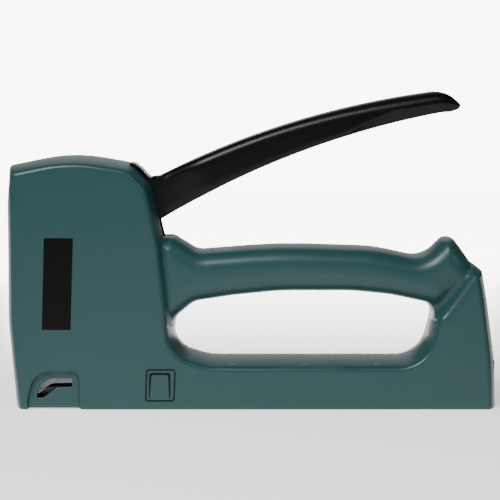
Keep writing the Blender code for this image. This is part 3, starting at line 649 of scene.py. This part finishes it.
def loft(name, rings):
    """A closed solid through rings of equally many points."""
    bm = bmesh.new()
    rows = [[bm.verts.new(point) for point in ring] for ring in rings]
    count = len(rows[0])
    for near, far in zip(rows, rows[1:]):
        for i in range(count):
            j = (i + 1) % count
            bm.faces.new((near[i], near[j], far[j], far[i]))
    bm.faces.new(rows[0])
    bm.faces.new(rows[-1])
    bmesh.ops.triangulate(bm, faces=[face for face in bm.faces if len(face.verts) > 4])
    return finished_mesh(name, bm)


def lever_rings(first, last, count, inner=0.0):
    """Sections of the lever between two parts of its length, all moved in by inner."""
    rings = []
    for i in range(count + 1):
        t = first + (last - first) * i / count
        top, bottom = arc_point(LEVER_TOP, t), arc_point(LEVER_UNDERSIDE, t)
        flare = float(smooth_step(0.02, 0.2, t))
        half_width = HUB_HALF_WIDTH + (LEVER_HALF_WIDTH - HUB_HALF_WIDTH) * flare - inner
        up = (top - bottom).normalized()
        facet = 0.3 + 2.6 * float(smooth_step(0.6, 0.95, t))
        if inner:
            rings.append(lever_ring(top - up * inner, bottom - up * 3, half_width - facet, 1.6, 0.3))
        else:
            top_edge = 2.6 + 0.6 * flare + 1.4 * float(smooth_step(0.4, 1, t))
            rings.append(lever_ring(top, bottom, half_width, top_edge, facet))
    return rings


def make_lever():
    """The squeeze lever: a hollow beam with a beaked tip on a flat root that turns about the pivot."""
    rings = lever_rings(0, 1, LEVER_STEPS)
    top_end, bottom_end = arc_point(LEVER_TOP, 1), arc_point(LEVER_UNDERSIDE, 1)
    for i in range(1, LEVER_TIP_STEPS + 1):
        share = i / LEVER_TIP_STEPS
        turn = math.radians(88) * share
        forward = math.sin(turn)
        top = top_end.lerp(LEVER_TIP, forward)
        top += Vector((0.25, 0.9)) * 1.9 * math.sin(math.pi * forward) * (1 - 0.3 * forward)
        bottom = bottom_end.lerp(LEVER_TIP - Vector((0.25, 1.0)), forward)
        bottom -= Vector((-0.2, 0.5)) * 0.9 * math.sin(math.pi * forward)
        narrowing = math.sqrt(max(1 - share ** 2.6, 0))
        half_width = TIP_END_HALF_WIDTH + (LEVER_HALF_WIDTH - TIP_END_HALF_WIDTH) * narrowing
        height = (top - bottom).length
        rings.append(lever_ring(top, bottom, half_width, min(4.6, 0.55 * height), min(2.9, 0.36 * height)))
    data = loft("beam", rings)
    roof = []
    for i in range(HUB_STEPS + 1):
        angle = math.radians(HUB_FRONT + (HUB_REAR - HUB_FRONT) * i / HUB_STEPS)
        roof.append(Vector((PIVOT.x + HUB_RADIUS * math.cos(angle), PIVOT.z + HUB_RADIUS * math.sin(angle))))
    neck = [arc_point(LEVER_TOP, t) - Vector((0, 0.4)) for t in (0.04, 0.08)]
    neck += [arc_point(LEVER_UNDERSIDE, t) + Vector((0, 0.4)) for t in (0.08, 0.0)]
    data = combine(data, "UNION", [
        prism("root", roof + neck + [Vector(point) for point in LEVER_KEEL], -HUB_HALF_WIDTH, HUB_HALF_WIDTH),
        prism("fin", LEVER_FIN, 0.1 - HUB_HALF_WIDTH, HUB_HALF_WIDTH - 0.1),
    ])
    data = combine(data, "DIFFERENCE", [
        loft("channel", lever_rings(0.16, 0.97, 30, LEVER_WALL)),
        across("pivot hole", PIVOT, LEVER_PIVOT_RADIUS, -20, 20),
        across("drive pin hole", DRIVE_PIN, LEVER_DRIVE_PIN_RADIUS, -20, 20),
    ])
    ribs = []
    half_width = LEVER_HALF_WIDTH - LEVER_RIB_CLEARANCE
    for t in LEVER_RIBS:
        top, bottom = arc_point(LEVER_TOP, t), arc_point(LEVER_UNDERSIDE, t)
        low = (bottom.x, -half_width, bottom.y + 4)
        ribs.append(box("rib", low, (bottom.x + LEVER_RIB_THICKNESS, half_width, top.y - 1.2)))
    data = combine(data, "UNION", ribs)
    data.name = "lever"
    lever = piece("squeeze_lever_moulded", data, 35)
    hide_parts("squeeze_lever")
    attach(lever, "lever")
    return lever


# ---------------------------------------------------------------- springs

def wire(name, points, radius, sides=12):
    """A round wire through the points, with flat ends."""
    bm = bmesh.new()
    rows = []
    side = None
    for i, point in enumerate(points):
        along = (points[min(i + 1, len(points) - 1)] - points[max(i - 1, 0)]).normalized()
        side = side or along.orthogonal()
        side = (side - along * side.dot(along)).normalized()
        other = along.cross(side)
        rows.append([
            bm.verts.new(point + radius * (side * math.cos(a) + other * math.sin(a)))
            for a in (2 * math.pi * k / sides for k in range(sides))
        ])
    for near, far in zip(rows, rows[1:]):
        for i in range(sides):
            j = (i + 1) % sides
            bm.faces.new((near[i], near[j], far[j], far[i]))
    bm.faces.new(rows[0])
    bm.faces.new(rows[-1])
    return finished_mesh(name, bm)


def coil(start, end, radius, turns):
    """Points of a helix from start to end, with a closed turn at each end."""
    start, end = Vector(start), Vector(end)
    axis = end - start
    first = axis.orthogonal().normalized()
    second = axis.normalized().cross(first)
    count = int(turns * COIL_STEPS)
    closed_in = (-1.0 / turns, 1 + 1.0 / turns)
    low = CLOSED_SHARE * float(smooth_step(*closed_in, 0.0))
    points = []
    for i in range(count + 1):
        t = i / count
        angle = 2 * math.pi * turns * t
        climb = CLOSED_SHARE * float(smooth_step(*closed_in, t)) + (1 - CLOSED_SHARE) * t
        out = first * math.cos(angle) + second * math.sin(angle)
        points.append(start + axis * ((climb - low) / (1 - 2 * low)) + radius * out)
    return points


def coil_spring(name, start, end, radius, wire_radius, turns):
    """A coil spring in place of the frame's spring of that name."""
    obj = piece(f"{name}_coil", wire(name, coil(start, end, radius, turns), wire_radius), 60)
    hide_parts(name)
    return obj


def make_springs():
    """Fine coils in place of the frame's springs."""
    low, high = (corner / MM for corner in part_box("main_spring"))
    main = coil_spring("main_spring", (-73.5, 0, low.z + 0.6), (-73.5, 0, high.z - 0.6), 4.3, 0.5, 11)
    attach(main, "body")
    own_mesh(main)
    low, high = (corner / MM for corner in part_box("pusher_spring"))
    push = coil_spring("pusher_spring", (low.x + 0.4, 0, 7.6), (high.x - 0.4, 0, 7.6), 2.15, 0.28, 34)
    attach(push, "magazine")
    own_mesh(push)
    low, high = (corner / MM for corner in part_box("latch_spring"))
    catch = coil_spring("latch_spring", (low.x + 0.3, 0, 11), (high.x - 0.3, 0, 11), 1.25, 0.22, 5)
    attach(catch, "magazine")
    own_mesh(catch)
    return [main, push, catch]


# ---------------------------------------------------------------- nose cheeks and prints

def make_cheek(node, side):
    """The bright steel cheek behind a side window, pressed with fine upright ribs."""
    y_low, y_high = sorted((side * CHEEK_INNER, side * CHEEK_OUTER))
    data = prism("cheek", rounded(CHEEK), y_low, y_high)
    grooves = []
    x, y = CHEEK_FRONT + GROOVE_MARGIN, side * (CHEEK_OUTER + GROOVE_OFFSET)
    while x < CHEEK_REAR - GROOVE_MARGIN:
        grooves.append(cylinder("groove", (x, y, 2), (x, y, 15), GROOVE_RADIUS, 8))
        x += GROOVE_PITCH
    data = combine(data, "DIFFERENCE", grooves)
    y_low, y_high = sorted((side * CHEEK_FLANGE_START, side * (CHEEK_INNER + 0.3)))
    flange = box("flange", (CHEEK_FRONT, y_low, CHEEK_FLANGE_BASE), (CHEEK_REAR, y_high, CHEEK_TOP))
    data = combine(data, "UNION", [flange])
    cheek = piece(f"{node}_ribbed", data, 25)
    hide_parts(node)
    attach(cheek, "body")
    return cheek


def print_mesh(name, outline, holes=()):
    """A thin printed layer on the left side face, with holes in it."""
    data = prism(name, rounded(outline), -HALF_WIDTH - PRINT_THICKNESS, 0.2 - HALF_WIDTH)
    if holes:
        data = combine(data, "DIFFERENCE", [prism("hole", rounded(hole), -30, 30) for hole in holes])
    layer = piece(name, data)
    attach(layer, "body")
    return layer


def make_prints():
    """The black prints on the left side: a plain block, and a staple in a frame."""
    return [
        print_mesh("print_block", PRINT_BLOCK),
        print_mesh("print_frame", PRINT_FRAME, [inset(PRINT_FRAME, PRINT_FRAME_LINE)]),
        print_mesh("print_staple", PRINT_STAPLE),
    ]


# ---------------------------------------------------------------- materials

def node_material(name, color, roughness, metallic=0.0):
    """A new Principled material with its nodes, links and main node."""
    found = bpy.data.materials.new(name)
    found.use_nodes = True
    nodes, links = found.node_tree.nodes, found.node_tree.links
    shader = nodes["Principled BSDF"]
    shader.inputs["Base Color"].default_value = (*color, 1)
    shader.inputs["Roughness"].default_value = roughness
    shader.inputs["Metallic"].default_value = metallic
    found.diffuse_color = (*color, 1)
    return found, nodes, links, shader


def noise(nodes, links, scale, detail=2.0, stretch=(1, 1, 1)):
    """A noise texture in object coordinates."""
    place = nodes.new("ShaderNodeTexCoord")
    mapping = nodes.new("ShaderNodeMapping")
    mapping.inputs["Scale"].default_value = stretch
    texture = nodes.new("ShaderNodeTexNoise")
    texture.inputs["Scale"].default_value = scale
    texture.inputs["Detail"].default_value = detail
    links.new(place.outputs["Object"], mapping.inputs["Vector"])
    links.new(mapping.outputs["Vector"], texture.inputs["Vector"])
    return texture.outputs["Fac"]


def spread(nodes, links, value, low, high):
    """Maps a noise value to a range."""
    node = nodes.new("ShaderNodeMapRange")
    for socket, number in (("From Min", 0.3), ("From Max", 0.7), ("To Min", low), ("To Max", high)):
        node.inputs[socket].default_value = number
    links.new(value, node.inputs["Value"])
    return node.outputs["Result"]


def add_bump(nodes, links, shader, value, strength):
    """Uses a value as fine relief."""
    bump = nodes.new("ShaderNodeBump")
    bump.inputs["Strength"].default_value = strength
    bump.inputs["Distance"].default_value = BUMP_DISTANCE
    links.new(value, bump.inputs["Height"])
    links.new(bump.outputs["Normal"], shader.inputs["Normal"])


def plastic(name, color, roughness, grain=0.3, specular=0.3):
    """Moulded plastic: a fine eroded grain and a gloss that varies a little."""
    found, nodes, links, shader = node_material(name, color, roughness)
    shader.inputs["Specular IOR Level"].default_value = specular
    add_bump(nodes, links, shader, noise(nodes, links, PLASTIC_GRAIN, 3), grain)
    uneven = noise(nodes, links, PLASTIC_PATCHES, 3)
    links.new(spread(nodes, links, uneven, roughness - 0.03, roughness + 0.03), shader.inputs["Roughness"])
    return found


def steel(name, color, roughness, stretch=(1, 1, 1), scale=400):
    """Plated or drawn steel: streaks along the rolling direction in gloss and surface."""
    found, nodes, links, shader = node_material(name, color, roughness, 1.0)
    streaks = noise(nodes, links, scale, 4, stretch)
    links.new(spread(nodes, links, streaks, roughness - 0.08, roughness + 0.1), shader.inputs["Roughness"])
    add_bump(nodes, links, shader, streaks, 0.15)
    return found


def make_materials():
    """Every material, by the name of its look."""
    return {
        "body": plastic("teal_moulded_plastic", (0.0155, 0.052, 0.0535), 0.33),
        "lever": plastic("black_moulded_plastic", (0.0012, 0.0012, 0.0013), 0.33, 0.2, 0.2),
        "ink": plastic("black_printing_ink", (0.001, 0.001, 0.001), 0.35, 0.2, 0.12),
        "pressed": steel("zinc_plated_steel", (0.60, 0.61, 0.63), 0.3, (0.15, 1, 1)),
        "bright": steel("bright_pressed_steel", (0.17, 0.175, 0.18), 0.32, (1, 1, 0.2)),
        # dark steel of the screws, also used as painted shade on the nose plate
        "screw": steel("blackened_screw_steel_and_painted_shade", (0.12, 0.12, 0.125), 0.4),
        "spring": steel("spring_steel", (0.38, 0.38, 0.4), 0.28, (1, 1, 1), 900),
        "rubber": plastic("bumper_rubber", (0.012, 0.012, 0.012), 0.75, 0.5),
    }


def paint(obj, material):
    """Gives an object one material in place of any others."""
    obj.data.materials.clear()
    obj.data.materials.append(material)


CAD_LOOKS = {
    "lever": ("magazine_knob", "magazine_latch", "pusher", "pivot_spacer_left", "pivot_spacer_right", "spring_guide"),
    "pressed": (
        "lift_plate_left", "lift_plate_right", "hammer", "driver_blade", "magazine_channel", "staple_rail",
        "pusher_rod", "lever_pivot_pin", "drive_pin", "latch_pin",
    ),
    # the nose plate takes the dark screw steel as painted shade, so the inside seen through the side windows stays
    # dark
    "screw": (*(f"shell_screw_{number}" for number in range(1, 7)), "nose_plate"),
    "spring": ("lever_return_spring",),
    "rubber": ("bumper",),
}


def finish_piece(obj, look, materials):
    """Gives a made piece its look."""
    paint(obj, materials[look])


# ---------------------------------------------------------------- stage, light and camera

def make_floor():
    """A plain pale floor under the object that glows with painted light: faint near the camera, strong towards the
    screen, and bright only in a middle strip that widens towards the back.
    """
    bm = bmesh.new()
    corners = [(x, y, 0) for x, y in (
        FLOOR_LOW, (FLOOR_HIGH[0], FLOOR_LOW[1]), FLOOR_HIGH, (FLOOR_LOW[0], FLOOR_HIGH[1]))]
    bm.faces.new([bm.verts.new(corner) for corner in corners])
    floor = bpy.data.objects.new("floor", finished_mesh("floor", bm))
    bpy.context.scene.collection.objects.link(floor)
    material, nodes, links, shader = node_material("pale_floor_painted_glow", (0.85, 0.85, 0.85), 0.9)
    shader.inputs["Emission Color"].default_value = (1, 1, 1, 1)
    shader.inputs["Specular IOR Level"].default_value = 0.1
    place = nodes.new("ShaderNodeTexCoord")
    parts = nodes.new("ShaderNodeSeparateXYZ")
    links.new(place.outputs["Object"], parts.inputs["Vector"])
    aside = math_node(nodes, links, "ABSOLUTE", parts.outputs["X"])
    widening = ranged(nodes, links, parts.outputs["Y"], 0.0, 1.3, 0.0, 0.16)
    beside = math_node(nodes, links, "SUBTRACT", aside, widening)
    strip = ranged(nodes, links, beside, 0.095, 0.125, 1.0, ASIDE_SHARE)
    # painted light: the floor's own glow, faint in front and strong towards the screen, dimmer beside the middle strip
    glow = ranged(nodes, links, parts.outputs["Y"], 0.0, 0.6, FLOOR_FRONT_GLOW, FLOOR_BACK_GLOW)
    links.new(math_node(nodes, links, "MULTIPLY", glow, strip), shader.inputs["Emission Strength"])
    paint(floor, material)


def math_node(nodes, links, operation, *values):
    """The result of a maths node on linked values."""
    node = nodes.new("ShaderNodeMath")
    node.operation = operation
    for value, socket in zip(values, node.inputs):
        links.new(value, socket)
    return node.outputs["Value"]


def ranged(nodes, links, value, low, high, to_low, to_high):
    """A soft step from one value to another."""
    node = nodes.new("ShaderNodeMapRange")
    node.interpolation_type = "SMOOTHSTEP"
    for name, number in (("From Min", low), ("From Max", high), ("To Min", to_low), ("To Max", to_high)):
        node.inputs[name].default_value = number
    links.new(value, node.inputs["Value"])
    return node.outputs["Result"]


def make_world():
    """A bright screen behind the object in a white studio that is darker overhead and dark in front."""
    world = bpy.data.worlds.new("studio")
    world.use_nodes = True
    bpy.context.scene.world = world
    nodes, links = world.node_tree.nodes, world.node_tree.links
    place = nodes.new("ShaderNodeTexCoord")
    parts = nodes.new("ShaderNodeSeparateXYZ")
    links.new(place.outputs["Generated"], parts.inputs["Vector"])
    aside = math_node(nodes, links, "ABSOLUTE", parts.outputs["X"])
    depth = ranged(nodes, links, parts.outputs["Y"], -0.2, 0.75, FRONT, BACKDROP)
    height = ranged(nodes, links, parts.outputs["Z"], 0.35, 0.8, 1.0, OVERHEAD)
    sides = ranged(nodes, links, aside, 0.12, 0.32, 1.0, ASIDE_SHARE)
    room = math_node(nodes, links, "MULTIPLY", math_node(nodes, links, "MULTIPLY", depth, height), sides)
    screen = ranged(nodes, links, parts.outputs["Y"], 0.5, 0.6, 0.0, SCREEN_GLOW)
    width = ranged(nodes, links, aside, 0.135, 0.17, 1.0, 0.0)
    top = ranged(nodes, links, parts.outputs["Z"], 0.036, 0.06, 1.0, 0.0)
    screen = math_node(nodes, links, "MULTIPLY", math_node(nodes, links, "MULTIPLY", screen, width), top)
    links.new(math_node(nodes, links, "ADD", room, screen), nodes["Background"].inputs["Strength"])
    nodes["Background"].inputs["Color"].default_value = (1, 1, 1, 1)


def softbox(name, azimuth, elevation, distance, size, power):
    """An area light aimed at the object."""
    data = bpy.data.lights.new(name, "AREA")
    data.shape = "RECTANGLE"
    data.size, data.size_y = size
    data.energy = power
    light = bpy.data.objects.new(name, data)
    bpy.context.scene.collection.objects.link(light)
    a, e = math.radians(azimuth), math.radians(elevation)
    away = Vector((math.sin(a) * math.cos(e), -math.cos(a) * math.cos(e), math.sin(e)))
    light.location = LIGHT_TARGET + away * distance
    light.rotation_euler = away.to_track_quat("Z", "Y").to_euler()


def make_lights():
    """The key light from the upper left and a weaker one from the right."""
    softbox("key softbox", -32, 45, 1.1, (0.6, 0.35), 17)
    softbox("fill softbox", 50, 30, 1.5, (0.6, 0.6), 2.5)


def make_camera():
    """The camera, which looks at the left side from slightly above."""
    data = bpy.data.cameras.new("camera")
    data.lens = CAMERA_LENS
    data.sensor_width = SENSOR_WIDTH
    data.clip_start, data.clip_end = 0.01, 50
    camera = bpy.data.objects.new("camera", data)
    bpy.context.scene.collection.objects.link(camera)
    e = math.radians(CAMERA_ELEVATION)
    away = Vector((0, -math.cos(e), math.sin(e)))
    camera.location = CAMERA_TARGET + away * CAMERA_DISTANCE
    camera.rotation_euler = away.to_track_quat("Z", "Y").to_euler()
    bpy.context.scene.camera = camera


def write_sizes():
    """Brings the view layer up to date."""
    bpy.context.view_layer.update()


def main():
    """Dresses the frame's nodes, adds the finer pieces and sets the stage."""
    materials = make_materials()
    for look, names in CAD_LOOKS.items():
        for name in names:
            paint(bpy.data.objects[name], materials[look])
    for node, side in (("left_shell", -1), ("right_shell", 1)):
        shell = make_shell(node, side)
        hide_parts(node)
        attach(shell, "body")
        finish_piece(shell, "body", materials)
    finish_piece(make_lever(), "lever", materials)
    for spring in make_springs():
        finish_piece(spring, "spring", materials)
    for node, side in (("nose_cheek_left", -1), ("nose_cheek_right", 1)):
        finish_piece(make_cheek(node, side), "bright", materials)
    for layer in make_prints():
        finish_piece(layer, "ink", materials)
    make_floor()
    make_world()
    make_lights()
    make_camera()
    write_sizes()


main()
